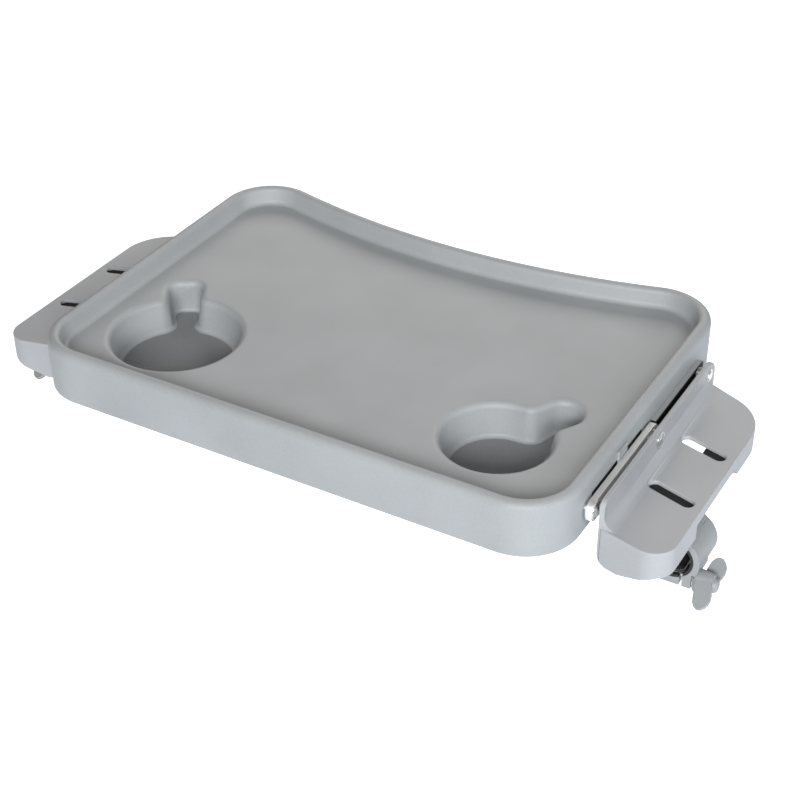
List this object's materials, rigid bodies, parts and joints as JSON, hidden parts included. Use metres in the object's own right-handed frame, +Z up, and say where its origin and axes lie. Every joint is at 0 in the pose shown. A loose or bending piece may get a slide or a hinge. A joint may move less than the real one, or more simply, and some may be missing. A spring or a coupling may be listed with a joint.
{
  "type": "walker tray",
  "caption": "Light grey moulded walker tray with two cup wells, folding steel links and clamp brackets for the side tubes of a walking frame.",
  "frame": {"origin": "On top of the tray floor, midway between the tray sides and 150 mm behind the straight edge, at the mount tray_floor.", "axes": "+Z up, out of the tray floor. +X to one clamp, along the greatest length of the part. -Y to the straight edge with the cup wells."},
  "size_m": [0.555, 0.2854, 0.1047],
  "materials": {
    "tray_plastic": "fine moulded grain, light grey",
    "bracket_plastic": "fine moulded grain, light grey",
    "black_rubber": "soft black",
    "brushed_steel": "brushed along the bar",
    "zinc_steel": "bright zinc plating",
    "bright_steel": "polished"
  },
  "bodies": {
    "bracket_right_body": {"bracket_right": "bracket_plastic", "middle_rivet_right": "bright_steel", "link_spacer_right": "zinc_steel", "slide_pin_right": "bright_steel", "pin_bushing_right": "zinc_steel", "shelf_pad_right": "black_rubber", "clamp_gasket_right": "black_rubber", "clamp_body_right": "bracket_plastic", "clamp_screws_right": "bright_steel", "fixed_liner_right": "black_rubber", "jaw_pin_right": "bright_steel", "clamp_nut_right": "zinc_steel"},
    "link_right": {"link_bar_right": "brushed_steel"},
    "jaw_right": {"clamp_jaw_right": "bracket_plastic", "moving_liner_right": "black_rubber"},
    "washer_right": {"clamp_washer_right": "zinc_steel"},
    "knob_right": {"wing_knob_right": "bracket_plastic", "clamp_bolt_right": "bright_steel"},
    "tray": {"tray_shell": "tray_plastic", "guide_pad_right": "tray_plastic", "guide_pad_left": "tray_plastic", "slide_rail_right": "tray_plastic", "slide_rail_left": "tray_plastic", "rail_screws_right": "bright_steel", "rail_screws_left": "bright_steel", "pivot_washer_right": "zinc_steel", "pivot_washer_left": "zinc_steel", "front_rivet_right": "bright_steel", "front_rivet_left": "bright_steel"},
    "bracket_left_body": {"bracket_left": "bracket_plastic", "middle_rivet_left": "bright_steel", "link_spacer_left": "zinc_steel", "slide_pin_left": "bright_steel", "pin_bushing_left": "zinc_steel", "shelf_pad_left": "black_rubber", "clamp_gasket_left": "black_rubber", "clamp_body_left": "bracket_plastic", "clamp_screws_left": "bright_steel", "fixed_liner_left": "black_rubber", "jaw_pin_left": "bright_steel", "clamp_nut_left": "zinc_steel"},
    "link_left": {"link_bar_left": "brushed_steel"},
    "jaw_left": {"clamp_jaw_left": "bracket_plastic", "moving_liner_left": "black_rubber"},
    "washer_left": {"clamp_washer_left": "zinc_steel"},
    "knob_left": {"wing_knob_left": "bracket_plastic", "clamp_bolt_left": "bright_steel"}
  },
  "joints": [
    {"name": "fold", "type": "hinge", "parent": "bracket_right_body", "child": "link_right", "pos_m": [0.2065, -0.0145, -0.01], "axis": [-1, 0, 0], "range_deg": [0, 106]},
    {"name": "tray_on_right_link", "type": "hinge", "parent": "link_right", "child": "tray", "pos_m": [0.2065, -0.102, -0.01], "axis": [-1, 0, 0], "range_deg": [-53, 0]},
    {"name": "left_link_on_tray", "type": "hinge", "parent": "tray", "child": "link_left", "pos_m": [-0.2065, -0.102, -0.01], "axis": [-1, 0, 0], "range_deg": [0, 53]},
    {"name": "left_bracket_on_link", "type": "hinge", "parent": "link_left", "child": "bracket_left_body", "pos_m": [-0.2065, -0.0145, -0.01], "axis": [-1, 0, 0], "range_deg": [-106, 0]},
    {"name": "clamp_travel_right", "type": "slide", "parent": "bracket_right_body", "child": "washer_right", "axis": [1, 0, 0], "range_m": [0, 0.0032]},
    {"name": "knob_turn_right", "type": "hinge", "parent": "washer_right", "child": "knob_right", "pos_m": [0.2617, -0.054, -0.0793], "axis": [1, 0, 0], "range_deg": [0, 1440]},
    {"name": "jaw_open_right", "type": "hinge", "parent": "bracket_right_body", "child": "jaw_right", "pos_m": [0.254, -0.044, -0.04964], "axis": [0, -1, 0], "range_deg": [0, 5]},
    {"name": "clamp_travel_left", "type": "slide", "parent": "bracket_left_body", "child": "washer_left", "axis": [-1, 0, 0], "range_m": [0, 0.0032]},
    {"name": "knob_turn_left", "type": "hinge", "parent": "washer_left", "child": "knob_left", "pos_m": [-0.2617, -0.054, -0.0793], "axis": [-1, 0, 0], "range_deg": [0, 1440]},
    {"name": "jaw_open_left", "type": "hinge", "parent": "bracket_left_body", "child": "jaw_left", "pos_m": [-0.254, -0.044, -0.04964], "axis": [0, 1, 0], "range_deg": [0, 5]}
  ],
  "couplings": [
    {"joint": "tray_on_right_link", "follows": "fold", "ratio": -0.5},
    {"joint": "left_link_on_tray", "follows": "fold", "ratio": 0.5},
    {"joint": "left_bracket_on_link", "follows": "fold", "ratio": -1},
    {"joint": "knob_turn_right", "follows": "clamp_travel_right", "rad_per_m": 7853.9},
    {"joint": "jaw_open_right", "follows": "clamp_travel_right", "rad_per_m": 27.27},
    {"joint": "knob_turn_left", "follows": "clamp_travel_left", "rad_per_m": 7853.9},
    {"joint": "jaw_open_left", "follows": "clamp_travel_left", "rad_per_m": 27.27}
  ]
}
